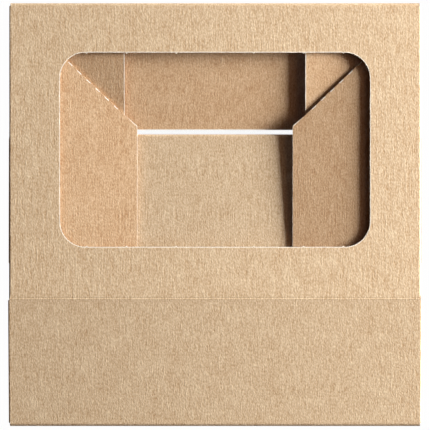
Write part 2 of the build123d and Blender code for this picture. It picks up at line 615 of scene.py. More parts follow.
@dataclass
class FoldedSheet:
    """Panels joined at their folds into one closed mesh of board.

    Attributes:
        board: The board.
        grid: Spacing of the mesh lines across a panel.
        guard: Distance of the first mesh line from a fold.
        fold_steps: Steps of the mesh round a fold.
        panels: The panels by name.
        folds: The folds that join them.
    """

    board: Board
    grid: float = 4.0
    guard: float = 0.35
    fold_steps: int = 10
    panels: dict[str, Panel] = field(default_factory=dict)
    folds: list[Fold] = field(default_factory=list)

    def join(self, lower: str, upper: str, bulge: Point, start: Point, end: Point) -> None:
        """Notes that a fold from start to end joins two panels, and which way it bulges."""
        self.folds.append(Fold(lower, upper, Vector(bulge), Vector(start), Vector(end)))

    def build(self) -> BMesh:
        """Makes both faces of every panel, the walls of its cut edges and the folds.

        Returns:
            The closed mesh in millimetres, with the board's surfaces as material slots.
        """
        for panel in self.panels.values():
            panel.lay_out(self.board.rim_width, self.grid, self.guard)
        for fold in self.folds:
            self.share_points(fold)
        mesh = bmesh.new()
        for panel in self.panels.values():
            self.add_panel(mesh, panel)
        for fold in self.folds:
            self.add_fold(mesh, fold)
        bmesh.ops.recalc_face_normals(mesh, faces=mesh.faces)
        return mesh

    def share_points(self, fold: Fold) -> None:
        """Gives two panels the same points along the fold that joins them.

        Args:
            fold: The fold.
        """
        lower, upper = self.panels[fold.lower], self.panels[fold.upper]
        for panel, other in ((upper, lower), (lower, upper)):
            places = [vert.co.copy() for vert in other.fold_verts(fold.start, fold.end)]
            panel.match(fold.start, fold.end, places)

    def add_panel(self, mesh: BMesh, panel: Panel) -> None:
        """Adds a panel's two faces and the walls of its free edges.

        Args:
            mesh: The mesh that grows.
            panel: The panel, with its plan laid out. Its skin is filled.
        """
        rim = panel.flat.verts.layers.float["rim"]
        skin = panel.skin
        for vert in panel.flat.verts:
            x, y, _ = vert.co
            depth = self.board.rim_depth * vert[rim]
            near = panel.near(x, y) + panel.layers * depth
            far = panel.near(x, y) + panel.layers * (self.board.thickness - depth)
            skin[vert] = (mesh.verts.new((x, y, near)), mesh.verts.new((x, y, far)))
        for face in panel.flat.faces:
            rimmed = any(vert[rim] > TINY for vert in face.verts)
            for layer, side in enumerate(panel.surfaces):
                made = mesh.faces.new([skin[vert][layer] for vert in face.verts])
                made.material_index = (Side.RIM if rimmed else side).value
        for edge in panel.flat.edges:
            if len(edge.link_faces) == 1 and not panel.is_folded(edge):
                start, end = edge.verts
                wall = mesh.faces.new([*skin[start], *reversed(skin[end])])
                wall.material_index = Side.CUT.value

    def add_fold(self, mesh: BMesh, fold: Fold) -> None:
        """Adds the round of board that joins two panels at a fold.

        The outside of the round joins the lower panel's near face to the upper one's far face.

        Args:
            mesh: The mesh that grows.
            fold: The fold, between panels that are in the mesh.
        """
        lower, upper = self.panels[fold.lower], self.panels[fold.upper]
        ends = (fold.start, fold.end)
        rows = []
        for below, above in zip(lower.fold_verts(*ends), upper.fold_verts(*ends), strict=True):
            lower_near, lower_far = lower.skin[below]
            upper_near, upper_far = upper.skin[above]
            outside = self.arc(mesh, lower_near, upper_far, fold.bulge)
            inside = self.arc(mesh, lower_far, upper_near, fold.bulge)
            rows.append((outside, inside))
        near_side, far_side = upper.surfaces
        for (outside, inside), (next_outside, next_inside) in zip(rows, rows[1:]):
            add_strip(mesh, outside, next_outside, far_side.value)
            add_strip(mesh, inside, next_inside, near_side.value)
        for outside, inside in (rows[0], rows[-1]):
            add_strip(mesh, outside, inside, Side.CUT.value)

    def arc(self, mesh: BMesh, start: BMVert, end: BMVert, bulge: Vector) -> list[BMVert]:
        """Draws a half round from one point up to the one above it.

        Args:
            mesh: The mesh that grows.
            start: First point, which exists.
            end: Last point, which exists.
            bulge: Direction in which the arc bulges.

        Returns:
            All points of the arc, both ends included.
        """
        middle = (start.co + end.co) / 2
        radius = (end.co.z - start.co.z) / 2
        points = [start]
        for step in range(1, self.fold_steps):
            angle = math.pi * (step / self.fold_steps - 0.5)
            out = bulge.to_3d() * abs(radius) * math.cos(angle)
            points.append(mesh.verts.new(middle + out + Vector((0, 0, radius * math.sin(angle)))))
        return [*points, end]


def thin_slab(
    columns: int,
    rows: int,
    points: Callable[[int, int], tuple[Vector, Vector]],
    slots: tuple[int, int, int],
) -> BMesh:
    """Makes a closed sheet over a grid of points.

    Args:
        columns: Steps of the grid across the sheet.
        rows: Steps of the grid along it.
        points: Points of the upper and the under face at a column and a row.
        slots: Material slots of the upper face, the under face and the walls.

    Returns:
        The mesh, with its faces outwards.
    """
    upper_slot, under_slot, wall_slot = slots
    mesh = bmesh.new()
    lines = []
    for row in range(rows + 1):
        upper, under = [], []
        for column in range(columns + 1):
            above, below = points(column, row)
            upper.append(mesh.verts.new(above))
            under.append(mesh.verts.new(below))
        lines.append((upper, under))
    for (upper, under), (next_upper, next_under) in zip(lines, lines[1:]):
        add_strip(mesh, upper, next_upper, upper_slot)
        add_strip(mesh, under, next_under, under_slot)
        for end in (0, -1):
            ring = [upper[end], under[end], next_under[end], next_upper[end]]
            mesh.faces.new(ring).material_index = wall_slot
    for upper, under in (lines[0], lines[-1]):
        add_strip(mesh, upper, under, wall_slot)
    bmesh.ops.recalc_face_normals(mesh, faces=mesh.faces)
    return mesh


# Objects, materials and their nodes


def mesh_data(name: str, mesh: BMesh) -> Mesh:
    """Writes a mesh down as Blender's own mesh data.

    Args:
        name: Name of the data.
        mesh: The mesh, which is freed.

    Returns:
        The data.
    """
    data = bpy.data.meshes.new(name)
    mesh.to_mesh(data)
    mesh.free()
    return data


def linked_object(name: str, data: bpy.types.ID) -> Object:
    """Makes an object and links it to the scene.

    Args:
        name: Name of the object.
        data: Its mesh, lamp or camera.

    Returns:
        The object.
    """
    made = bpy.data.objects.new(name, data)
    bpy.context.scene.collection.objects.link(made)
    return made


def finished_object(name: str, mesh: BMesh, materials: Iterable[Material]) -> Object:
    """Turns a mesh in millimetres into an object in metres, smooth apart from its real edges.

    Args:
        name: Name of the piece.
        mesh: The mesh, which is freed.
        materials: Materials of its slots.

    Returns:
        The object, linked to the scene.
    """
    for face in mesh.faces:
        face.smooth = True
    for edge in mesh.edges:
        slots = {face.material_index for face in edge.link_faces}
        edge.smooth = len(slots) == 1 and edge.calc_face_angle(math.pi) < SHARP_ANGLE
    bmesh.ops.scale(mesh, vec=(MM, MM, MM), verts=mesh.verts)
    data = mesh_data(name, mesh)
    for material in materials:
        data.materials.append(material)
    return linked_object(name, data)


def stage_object(name: str, mesh: BMesh, material: Material) -> Object:
    """Makes a thing of the studio, which isn't part of the box.

    Args:
        name: Name of the object.
        mesh: Its mesh in metres, which is freed.
        material: Its material.

    Returns:
        The object, linked to the scene.
    """
    data = mesh_data(name, mesh)
    data.materials.append(material)
    made = linked_object(name, data)
    return made


class Graph:
    """Adds nodes to one node tree and links them."""

    def __init__(self, tree: NodeTree) -> None:
        """Keeps the tree that the nodes go into."""
        self.tree = tree

    def add(self, kind: str, inputs: dict[str | int, Value] | None = None, **settings: object) -> Node:
        """Adds a node.

        Args:
            kind: Blender's name for the node.
            inputs: Values or sockets by the name or index of the input that they go to.
            **settings: Properties of the node itself.

        Returns:
            The node.
        """
        node = self.tree.nodes.new(kind)
        for name, value in settings.items():
            setattr(node, name, value)
        for key, value in (inputs or {}).items():
            if isinstance(value, NodeSocket):
                self.tree.links.new(value, node.inputs[key])
            else:
                node.inputs[key].default_value = value
        return node

    def math(self, operation: str, *values: Value) -> NodeSocket:
        """Adds a math node and returns its result."""
        return self.add("ShaderNodeMath", dict(enumerate(values)), operation=operation).outputs[0]

    def mix(self, share: Value, first: Value, second: Value) -> NodeSocket:
        """Adds a mix of two colours, whose sockets are 6 and 7, and returns its result."""
        return self.add("ShaderNodeMix", {0: share, 6: first, 7: second}, data_type="RGBA").outputs[2]

    def remap(self, value: Value, limits: Point, span: Point = (0.0, 1.0)) -> NodeSocket:
        """Adds a map range node, clamped, from limits to a span, and returns its result."""
        inputs = dict(enumerate((value, *limits, *span)))
        return self.add("ShaderNodeMapRange", inputs).outputs[0]


def new_material(name: str) -> tuple[Material, Graph]:
    """Makes a material with nothing in its node tree.

    Args:
        name: Name of the material.

    Returns:
        The material and the graph of its nodes.
    """
    made = bpy.data.materials.new(name)
    made.use_nodes = True
    made.node_tree.nodes.clear()
    return made, Graph(made.node_tree)


def new_group(name: str, inputs: dict[str, float], outputs: Iterable[str]) -> Graph:
    """Makes an empty shader node group that reads a position.

    Args:
        name: Name of the group.
        inputs: Default of each number that it takes beside the position, by name.
        outputs: Names of the numbers that it puts out.

    Returns:
        The graph of its nodes.
    """
    tree = bpy.data.node_groups.new(name, "ShaderNodeTree")
    tree.interface.new_socket("Vector", in_out="INPUT", socket_type="NodeSocketVector")
    for label, default in inputs.items():
        socket = tree.interface.new_socket(label, in_out="INPUT", socket_type="NodeSocketFloat")
        socket.default_value = default
    for label in outputs:
        tree.interface.new_socket(label, in_out="OUTPUT", socket_type="NodeSocketFloat")
    return Graph(tree)


# Finishes


@dataclass(frozen=True)
class BoardFibres:
    """The grain of the board: long streaks of fibre, short hairs and soft clouds.

    Attributes:
        streak_width: Width of the streaks and hairs, in millimetres.
        streak_length: Length of the streaks, in millimetres.
        cloud_size: Size of the clouds, in millimetres.
        hair_length: Length of the hairs as a share of the streaks'.
        hair_share: Share of the hairs in the mixed fibres.
        fibre_layers: Number and strength of the finer layers of streaks and hairs.
        cloud_layers: Number and strength of the finer layers of the clouds.
    """

    streak_width: float = 0.6
    streak_length: float = 6.0
    cloud_size: float = 9.0
    hair_length: float = 0.17
    hair_share: float = 0.62
    fibre_layers: Point = (1.0, 0.5)
    cloud_layers: Point = (3.0, 0.6)

    def group(self) -> NodeTree:
        """Builds the shader group.

        Returns:
            A group that turns a position in metres and sizes in millimetres into masks and a height.
        """
        sizes = {
            "Streak Width": self.streak_width,
            "Streak Length": self.streak_length,
            "Cloud Size": self.cloud_size,
            "Seed": 0.0,
        }
        graph = new_group("board_fibres", sizes, ("Streaks", "Hairs", "Clouds", "Fibres"))
        source = graph.add("NodeGroupInput").outputs
        width = graph.math("MULTIPLY", source["Streak Width"], MM)
        length = graph.math("MULTIPLY", source["Streak Length"], MM)
        cloud = graph.math("MULTIPLY", source["Cloud Size"], MM)
        short = graph.math("MULTIPLY", length, self.hair_length)

        def noise(across: NodeSocket, along: NodeSocket, layers: Point) -> NodeSocket:
            """Adds noise of a size across the board and along Y.

            Args:
                across: Size across.
                along: Size along Y.
                layers: Number and strength of its finer layers.

            Returns:
                The noise.
            """
            detail, strength = layers
            size = graph.add("ShaderNodeCombineXYZ", {0: across, 1: along, 2: across}).outputs[0]
            place = graph.add("ShaderNodeVectorMath", {0: source["Vector"], 1: size}, operation="DIVIDE")
            inputs = {0: place.outputs[0], 1: source["Seed"]}
            shifted = graph.add("ShaderNodeVectorMath", inputs, operation="ADD").outputs[0]
            inputs = {"Vector": shifted, "Scale": 1.0, "Detail": detail, "Roughness": strength}
            return graph.add("ShaderNodeTexNoise", inputs).outputs[0]

        streaks = noise(width, length, self.fibre_layers)
        hairs = noise(width, short, self.fibre_layers)
        clouds = noise(cloud, cloud, self.cloud_layers)
        rest = graph.math("MULTIPLY", streaks, 1 - self.hair_share)
        both = graph.math("MULTIPLY_ADD", hairs, self.hair_share, rest)
        found = {"Streaks": streaks, "Hairs": hairs, "Clouds": clouds, "Fibres": both}
        graph.add("NodeGroupOutput", found)
        return graph.tree


@dataclass(frozen=True)
class PulpSpecks:
    """Sparse flecks, such as bits of bark in the pulp.

    Attributes:
        spacing: Distance from one possible fleck to the next, in millimetres.
        size: Radius of the largest fleck, in millimetres.
        share: Share of the possible flecks that are there.
        fade: Share of a fleck's radius over which it fades out.
    """

    spacing: float = 6.0
    size: float = 0.3
    share: float = 0.2
    fade: float = 0.5

    def group(self) -> NodeTree:
        """Builds the shader group.

        Returns:
            A group that gives a mask of the flecks.
        """
        sizes = {"Spacing": self.spacing, "Size": self.size, "Share": self.share}
        graph = new_group("pulp_specks", sizes, ("Mask",))
        source = graph.add("NodeGroupInput").outputs
        spacing = graph.math("MULTIPLY", source["Spacing"], MM)
        place = graph.add("ShaderNodeVectorMath", {0: source["Vector"], 1: spacing}, operation="DIVIDE")
        cells = graph.add("ShaderNodeTexVoronoi", {"Vector": place.outputs[0], "Scale": 1.0}).outputs
        radius = graph.math("DIVIDE", source["Size"], source["Spacing"])
        draw = graph.add("ShaderNodeSeparateColor", {0: cells["Color"]}).outputs
        chosen = graph.math("LESS_THAN", draw[0], source["Share"])
        own_radius = graph.math("MULTIPLY", radius, draw[1])
        inside = graph.math("SUBTRACT", 1.0, graph.math("DIVIDE", cells["Distance"], own_radius))
        mask = graph.math("MULTIPLY", graph.remap(inside, (0.0, self.fade)), chosen)
        graph.add("NodeGroupOutput", {"Mask": mask})
        return graph.tree


@dataclass(frozen=True)
class KraftFinish:
    """One surface of the kraft board.

    Attributes:
        name: Name of the material.
        pale: Colour of the pale fibres.
        deep: Colour of the deep ones.
        fleck: Colour of the specks.
        seed: Shift of the pattern.
        tone_spread: Distance of the palest and the deepest tone from the mean of the noise.
        cloud_depth: How much the clouds darken the colour.
        fleck_share: Share of the possible specks that are there.
        relief: Height of the fibres in millimetres.
        roughness: Mean roughness.
        roughness_spread: How far the hairs turn the roughness up and down.
        hair_limits: Values of the hairs between which the roughness turns.
        specular: Strength of the sheen of plain uncoated board.
    """

    name: str
    pale: Colour
    deep: Colour
    fleck: Colour = (0.16, 0.07, 0.025, 1.0)
    seed: float = 0.0
    tone_spread: float = 0.28
    cloud_depth: float = 0.2
    fleck_share: float = 0.27
    relief: float = 0.115
    roughness: float = 0.86
    roughness_spread: float = 0.06
    hair_limits: Point = (0.2, 0.8)
    specular: float = 0.03

    def material(self, fibres: NodeTree, specks: NodeTree) -> Material:
        """Builds the material.

        Args:
            fibres: The group of the board's grain.
            specks: The group of its specks.

        Returns:
            The material.
        """
        made, graph = new_material(self.name)
        place = graph.add("ShaderNodeTexCoord").outputs["Object"]
        inputs = {"Vector": place, "Seed": self.seed}
        grain = graph.add("ShaderNodeGroup", inputs, node_tree=fibres).outputs
        inputs = {"Vector": place, "Share": self.fleck_share}
        spots = graph.add("ShaderNodeGroup", inputs, node_tree=specks).outputs
        tone = graph.math("MULTIPLY_ADD", grain["Clouds"], self.cloud_depth, grain["Fibres"])
        middle = NOISE_MEAN * (1 + self.cloud_depth)
        share = graph.remap(tone, (middle - self.tone_spread, middle + self.tone_spread))
        colour = graph.mix(share, self.deep, self.pale)
        colour = graph.mix(spots["Mask"], colour, self.fleck)
        span = (self.roughness - self.roughness_spread, self.roughness + self.roughness_spread)
        inputs = {"Strength": 1.0, "Distance": self.relief * MM, "Height": grain["Fibres"]}
        bump = graph.add("ShaderNodeBump", inputs)
        inputs = {
            "Base Color": colour,
            "Roughness": graph.remap(grain["Hairs"], self.hair_limits, span),
            "Normal": bump.outputs[0],
            "Specular IOR Level": self.specular,
        }
        surface = graph.add("ShaderNodeBsdfPrincipled", inputs)
        graph.add("ShaderNodeOutputMaterial", {"Surface": surface.outputs[0]})
        return made


# Finish of each surface of the board
KRAFT = {
    Side.OUTER: KraftFinish("kraft_outer", (0.90, 0.72, 0.495, 1.0), (0.49, 0.285, 0.14, 1.0)),
    Side.INNER: KraftFinish("kraft_inner", (0.85, 0.615, 0.39, 1.0), (0.48, 0.243, 0.104, 1.0), seed=7.0),
    Side.RIM: KraftFinish("kraft_rim", (0.98, 0.9, 0.79, 1.0), (0.92, 0.82, 0.67, 1.0), seed=3.0),
    # Cut walls and creases: a brown deeper than cut board, partly painted shade where they face the lamp
    Side.CUT: KraftFinish("kraft_cut_and_shade", (0.42, 0.28, 0.16, 1.0), (0.26, 0.15, 0.075, 1.0), seed=5.0),
}


@dataclass(frozen=True)
class FilmFinish:
    """The clear window film, with faint pale streaks painted on as reflections of its wrinkles.

    Attributes:
        name: Name of the material.
        haze: Share of the light that the film turns away where it shows no painted reflection.
        glint_opacity: Opacity that the painted reflections add.
        roughness: Roughness.
        base_tint: Colour of what the film turns away where it shows no painted reflection.
        glint_colour: Colour of the painted reflections.
        glint_turn: Direction of the streaks of painted reflection from Y, in radians.
        glint_width: Width of a streak of painted reflection, in millimetres.
        glint_length: Length of a streak of painted reflection, in millimetres.
        glint_limits: Values of the streaks between which a painted reflection comes up.
        glint_patch_size: Size of the patches that hold painted reflections, in millimetres.
        glint_patch_limits: Values of the clouds between which a patch of painted reflection comes up.
    """

    name: str = "clear_window_film"
    haze: float = 0.024
    glint_opacity: float = 0.01
    roughness: float = 0.12
    base_tint: Colour = (0.1, 0.09, 0.08, 1.0)
    glint_colour: Colour = (0.4, 0.34, 0.27, 1.0)
    glint_turn: float = 0.9
    glint_width: float = 2.2
    glint_length: float = 26.0
    glint_limits: Point = (0.5, 0.75)
    glint_patch_size: float = 30.0
    glint_patch_limits: Point = (0.45, 0.65)

    def material(self, fibres: NodeTree) -> Material:
        """Builds the material.

        Args:
            fibres: The group of the board's grain, read here as streaks of painted reflection.

        Returns:
            The material.
        """
        made, graph = new_material(self.name)
        place = graph.add("ShaderNodeTexCoord").outputs["Object"]
        turned = graph.add("ShaderNodeMapping", {"Vector": place, "Rotation": (0.0, 0.0, self.glint_turn)})
        inputs = {
            "Vector": turned.outputs[0],
            "Streak Width": self.glint_width,
            "Streak Length": self.glint_length,
            "Cloud Size": self.glint_patch_size,
        }
        grain = graph.add("ShaderNodeGroup", inputs, node_tree=fibres).outputs
        # Pale streaks in patches, painted on as reflections of the film's wrinkles
        glint_streaks = graph.remap(grain["Streaks"], self.glint_limits)
        glint_patches = graph.remap(grain["Clouds"], self.glint_patch_limits)
        painted_glints = graph.math("MULTIPLY", glint_streaks, glint_patches)
        inputs = {
            "Base Color": graph.mix(painted_glints, self.base_tint, self.glint_colour),
            "Roughness": self.roughness,
            "Alpha": graph.math("MULTIPLY_ADD", painted_glints, self.glint_opacity, self.haze),
        }
        surface = graph.add("ShaderNodeBsdfPrincipled", inputs)
        graph.add("ShaderNodeOutputMaterial", {"Surface": surface.outputs[0]})
        return made


# The pieces of the box


def crease_tree() -> NodeTree:
    """Builds the nodes that repeat one short crease along a perforated fold.

    The object's own mesh is one crease, lying along -Y from its origin. The first copy is
    shortened, since the corner's relief takes the start of it.

    Returns:
        The geometry node tree.
    """
    tree = bpy.data.node_groups.new("perforated_fold", "GeometryNodeTree")
    sockets = (
        ("Geometry", "NodeSocketGeometry"),
        ("Start", "NodeSocketVector"),
        ("Step", "NodeSocketVector"),
        ("Turn", "NodeSocketRotation"),
        ("Count", "NodeSocketInt"),
        ("First Share", "NodeSocketFloat"),
        ("Board", "NodeSocketMaterial"),
    )
    for label, kind in sockets:
        tree.interface.new_socket(label, in_out="INPUT", socket_type=kind)
    tree.interface.new_socket("Geometry", in_out="OUTPUT", socket_type="NodeSocketGeometry")
    graph = Graph(tree)
    source = graph.add("NodeGroupInput").outputs
    inputs = {"Count": source["Count"], "Start Location": source["Start"], "Offset": source["Step"]}
    line = graph.add("GeometryNodeMeshLine", inputs)
    index = graph.add("GeometryNodeInputIndex").outputs[0]
    # The whole numbers that a Compare node takes are its sockets 2 and 3
    first = graph.add("FunctionNodeCompare", {2: index, 3: 0}, data_type="INT", operation="EQUAL")
    inputs = {0: first.outputs[0], 1: 1.0, 2: source["First Share"]}
    length = graph.add("GeometryNodeSwitch", inputs, input_type="FLOAT")
    scale = graph.add("ShaderNodeCombineXYZ", {0: 1.0, 1: length.outputs[0], 2: 1.0})
    inputs = {
        "Points": line.outputs[0],
        "Instance": source["Geometry"],
        "Rotation": source["Turn"],
        "Scale": scale.outputs[0],
    }
    copies = graph.add("GeometryNodeInstanceOnPoints", inputs)
    real = graph.add("GeometryNodeRealizeInstances", {0: copies.outputs[0]})
    inputs = {"Geometry": real.outputs[0], "Material": source["Board"]}
    dressed = graph.add("GeometryNodeSetMaterial", inputs)
    graph.add("NodeGroupOutput", {0: dressed.outputs[0]})
    return tree


@dataclass
class PerforatedFold:
    """The creases that are left between the cuts of one diagonal fold.

    Attributes:
        corner: The corner whose diagonal it is.
        tree: The geometry nodes that repeat a crease.
        surface: Material of the creases.
        steps: Steps of the mesh round a crease.
        squeeze: How far a crease bulges, as a share of a half round.
    """

    corner: Corner
    tree: NodeTree
    surface: Material
    steps: int = 8
    squeeze: float = 0.06

    def half_round(self, radius: float, way: int) -> list[Point]:
        """Draws the round of a crease's section, which bulges towards +X.

        Args:
            radius: Half the height of the round.
            way: 1 to run down, and -1 to run up.

        Returns:
            Points in X and Z.
        """
        turns = [way * math.pi * (0.5 - step / self.steps) for step in range(self.steps + 1)]
        return [(radius * self.squeeze * math.cos(turn), radius * math.sin(turn)) for turn in turns]

    def section(self) -> list[Point]:
        """Draws a crease's section, a U of board whose legs run out along -X.

        Returns:
            Points in X and Z, in millimetres.
        """
        board = self.corner.pack.board
        leg, outside, inside = board.rim_width, board.tight_fold / 2, board.fold_gap / 2
        tip = outside - 2 * board.rim_depth
        outer = [(-leg, outside), *self.half_round(outside, 1), (-leg, -outside)]
        inner = [(-leg, -tip), *self.half_round(inside, -1), (-leg, tip)]
        return outer + inner

    def single(self) -> BMesh:
        """Makes one crease round the diagonal's edge, lying along -Y.

        Returns:
            The closed mesh in metres.
        """
        mesh = bmesh.new()
        rings = []
        for y in (-self.corner.pack.die.cut_length, 0.0):
            rings.append([mesh.verts.new(Vector((x, y, z)) * MM) for x, z in self.section()])
            mesh.faces.new(rings[-1])
        start, end = ([*ring, ring[0]] for ring in rings)
        add_strip(mesh, start, end, 0)
        bmesh.ops.recalc_face_normals(mesh, faces=mesh.faces)
        return mesh

    def inputs(self) -> dict[str, object]:
        """Works out the tree's inputs, which lay the copies along the diagonal.

        Returns:
            The inputs by name, with lengths in metres.
        """
        corner, board, die = self.corner, self.corner.pack.board, self.corner.pack.die
        run = Vector((1.0, die.diagonal_slope)).length
        line = Vector(corner.place(1.0, die.diagonal_slope)) - Vector(corner.place(0.0, 0.0))
        along = Vector((line.x, line.y, corner.layers * corner.side_lean)).normalized()
        bulge = Vector((-line.y, line.x, 0.0)).normalized()
        if bulge.y * corner.inward > 0:
            bulge = -bulge
        axes = Matrix((bulge, along, bulge.cross(along))).transposed()
        first_end = die.first_cut - die.cut_length / 2
        x = first_end / run
        height = board.glue_layer - board.fold_gap / 2 + corner.side_lean * x
        start = (*corner.place(x, die.diagonal_slope * x), corner.base_face + corner.layers * height)
        return {
            "Start": Vector(start) * MM,
            "Step": along * die.cut_pitch * MM,
            "Turn": axes.to_euler(),
            "Count": int((die.diagonal_run * run - first_end) / die.cut_pitch) + 1,
            "First Share": (first_end - die.corner_relief) / die.cut_length,
            "Board": self.surface,
        }

    def mesh(self) -> Mesh:
        """Repeats the crease along the diagonal.

        Returns:
            The creases as a plain mesh in metres.
        """
        carrier = linked_object("crease", mesh_data("crease", self.single()))
        modifier = carrier.modifiers.new("perforated_fold", "NODES")
        modifier.node_group = self.tree
        inputs = self.inputs()
        for item in self.tree.interface.items_tree:
            if item.item_type == "SOCKET" and item.in_out == "INPUT" and item.name in inputs:
                modifier[item.identifier] = inputs[item.name]
        depsgraph = bpy.context.evaluated_depsgraph_get()
        made = bpy.data.meshes.new_from_object(carrier.evaluated_get(depsgraph))
        bpy.data.objects.remove(carrier)
        return made


def add_creases(mesh: BMesh, corners: Iterable[Corner], tree: NodeTree, surface: Material) -> None:
    """Adds the creases of the perforated folds to a sheet's mesh.

    Args:
        mesh: The sheet's mesh in millimetres.
        corners: Corners whose diagonals are perforated.
        tree: The geometry nodes that repeat a crease.
        surface: Material of the creases.
    """
    for corner in corners:
        creases = PerforatedFold(corner, tree, surface).mesh()
        creases.transform(Matrix.Scale(1 / MM, 4))
        before = len(mesh.faces)
        mesh.from_mesh(creases)
        mesh.faces.ensure_lookup_table()
        for face in mesh.faces[before:]:
            face.material_index = Side.CUT.value
        bpy.data.meshes.remove(creases)


def end_wall_outline(corner: Corner, free: Edge) -> Outline:
    """Draws the outline of a full-width end wall.

    Args:
        corner: The nest's left corner.
        free: Kind of the edge across from the fold.

    Returns:
        The outline, with the glue flaps' folds on both ends.
    """
    width, reach = 2 * corner.side_fold, corner.reach
    low, far = corner.pack.die.corner_relief, corner.far
    steps = [
        ((0, 0), Edge.FOLD),
        ((width, 0), Edge.CUT),
        ((width, low), Edge.FOLD),
        ((width, far), Edge.CUT),
        ((width, reach), free),
        ((0, reach), Edge.CUT),
        ((0, far), Edge.FOLD),
        ((0, low), Edge.CUT),
    ]
    return corner.outline(steps)


def perforated_line(corner: Corner) -> Outline:
    """Draws the diagonal of a side wall, with a rim at each of its cuts and none at the creases.

    Args:
        corner: The corner.

    Returns:
        Points in the corner's x and y, from the side fold to the end of the last cut.
    """
    die, ease = corner.pack.die, corner.pack.board.rim_width
    along = Vector((1.0, die.diagonal_slope)).normalized()
    length = die.diagonal_run / along.x
    stops = [(0.0, Edge.FLUSH)]
    middle = die.first_cut
    while middle + die.cut_length / 2 < length:
        start, end = middle - die.cut_length / 2, middle + die.cut_length / 2
        stops += [(start, Edge.SLIT), (start + ease, Edge.SLIT), (end - ease, Edge.SLIT), (end, Edge.FLUSH)]
        middle += die.cut_pitch
    return [(tuple(along * stop), kind) for stop, kind in stops]


def side_end(corner: Corner, reach: float) -> list[Point]:
    """Draws the end of a side wall, from the side fold along the diagonal to the free edge.

    Args:
        corner: The corner.
        reach: Reach of the side wall from its fold line.

    Returns:
        Points in the corner's x and y.
    """
    die = corner.pack.die
    high = die.diagonal_slope * die.diagonal_run
    mitre = high + die.mitre_slope * (reach - die.diagonal_run)
    return [(0, 0), (die.diagonal_run, high), (reach, mitre)]


def add_glued_corner(sheet: FoldedSheet, corner: Corner, wall: str) -> None:
    """Adds a glue flap and the triangle of the side wall that is glued to it.

    Both faces of a glue flap take the inner face's deeper brown; on its outer face this is painted shade for
    where it lies under the other layers.

    Args:
        sheet: The sheet that grows.
        corner: The corner.
        wall: Name of the end wall that the flap folds off.
    """
    die, far = corner.pack.die, corner.far
    flap = [
        ((0, die.corner_relief), Edge.CUT),
        ((die.flap_length, die.corner_relief + die.flap_slope * die.flap_length), Edge.CUT),
        ((die.flap_length, far - die.flap_end_taper), Edge.CUT),
        ((0, far), Edge.FOLD),
    ]
    triangle = [
        ((die.corner_relief, die.diagonal_slope * die.corner_relief), Edge.CUT),
        ((die.diagonal_run, die.diagonal_slope * die.diagonal_run), Edge.CUT),
        ((die.glue_inset, die.glue_height), Edge.CUT),
    ]
    name = f"{wall}_{'left' if corner.hand < 0 else 'right'}"
    # The flap's outer face takes the inner brown: painted shade for where it lies under the layers
    sheet.panels[f"{name}_flap"] = Panel(
        [corner.outline(flap)], corner.level(corner.flap), corner.layers, (Side.INNER, Side.INNER)
    )
    sheet.panels[f"{name}_triangle"] = Panel(
        [corner.outline(triangle)], corner.level(corner.triangle), corner.layers, (Side.OUTER, Side.INNER)
    )
    ends = (corner.place(0, die.corner_relief), corner.place(0, far))
    sheet.join(f"{name}_flap", wall, (corner.hand, 0), *ends)


def add_end_wall(sheet: FoldedSheet, base: str, wall: str, corner: Corner, free: Edge) -> None:
    """Adds an end wall and its fold.

    Args:
        sheet: The sheet that grows.
        base: Name of the panel that the wall folds off.
        wall: Name of the wall.
        corner: The nest's left corner at the wall.
        free: Kind of the edge across from the fold.
    """
    outline = end_wall_outline(corner, free)
    surfaces = (Side.INNER, Side.OUTER)
    sheet.panels[wall] = Panel([outline], corner.level(corner.end_wall), corner.layers, surfaces)
    ends = (corner.place(0, 0), corner.place(2 * corner.side_fold, 0))
    sheet.join(base, wall, (0, -corner.inward), *ends)


